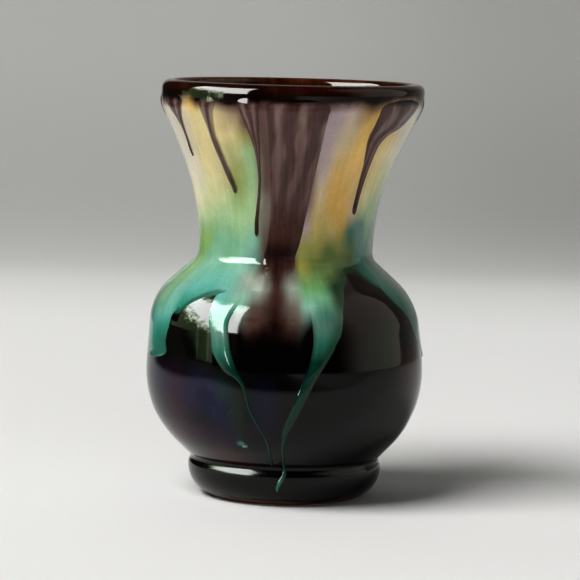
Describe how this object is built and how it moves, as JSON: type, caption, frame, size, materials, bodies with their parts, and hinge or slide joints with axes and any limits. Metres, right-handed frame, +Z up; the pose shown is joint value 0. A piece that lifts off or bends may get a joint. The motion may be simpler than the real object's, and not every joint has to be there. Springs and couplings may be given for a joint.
{
  "type": "ceramic bud vase",
  "caption": "Small thrown ceramic vase with a round belly, a sharp waist, a neck that flares to a soft lip, and drip glazes.",
  "frame": {"origin": "middle of the foot ring's underside, on the surface that the vase stands on", "axes": "+Z up along the vase's axis, -Y towards the front, +X to the right seen from the front"},
  "size_m": [0.0671, 0.0671, 0.1],
  "materials": {
    "bare_clay": "matt, fired, unglazed",
    "liner_glaze": "glossy, brown to amber",
    "rim_glaze": "glossy, near black",
    "neck_glaze": "glossy, cream and yellow to green",
    "shoulder_glaze": "glossy, turquoise",
    "belly_glaze": "glossy, near black with a faint iridescence",
    "plum_run_glaze": "glossy, plum brown",
    "teal_run_glaze": "glossy, teal"
  },
  "bodies": {
    "root": {"clay_body": "bare_clay", "liner_glaze": "liner_glaze", "rim_glaze": "rim_glaze", "neck_glaze": "neck_glaze", "shoulder_glaze": "shoulder_glaze", "belly_glaze": "belly_glaze", "rim_run_1": "plum_run_glaze", "rim_run_2": "plum_run_glaze", "rim_run_3": "plum_run_glaze", "rim_run_4": "plum_run_glaze", "rim_run_5": "plum_run_glaze", "rim_run_6": "plum_run_glaze", "rim_run_7": "plum_run_glaze", "rim_run_8": "plum_run_glaze", "rim_run_9": "plum_run_glaze", "rim_run_10": "plum_run_glaze", "rim_run_11": "plum_run_glaze", "rim_run_12": "plum_run_glaze", "rim_run_13": "plum_run_glaze", "shoulder_run_1": "teal_run_glaze", "shoulder_run_2": "teal_run_glaze", "shoulder_run_3": "teal_run_glaze", "shoulder_run_4": "teal_run_glaze", "shoulder_run_5": "teal_run_glaze", "shoulder_run_6": "teal_run_glaze", "shoulder_run_7": "teal_run_glaze", "shoulder_run_8": "teal_run_glaze", "shoulder_run_9": "teal_run_glaze"}
  },
  "joints": []
}
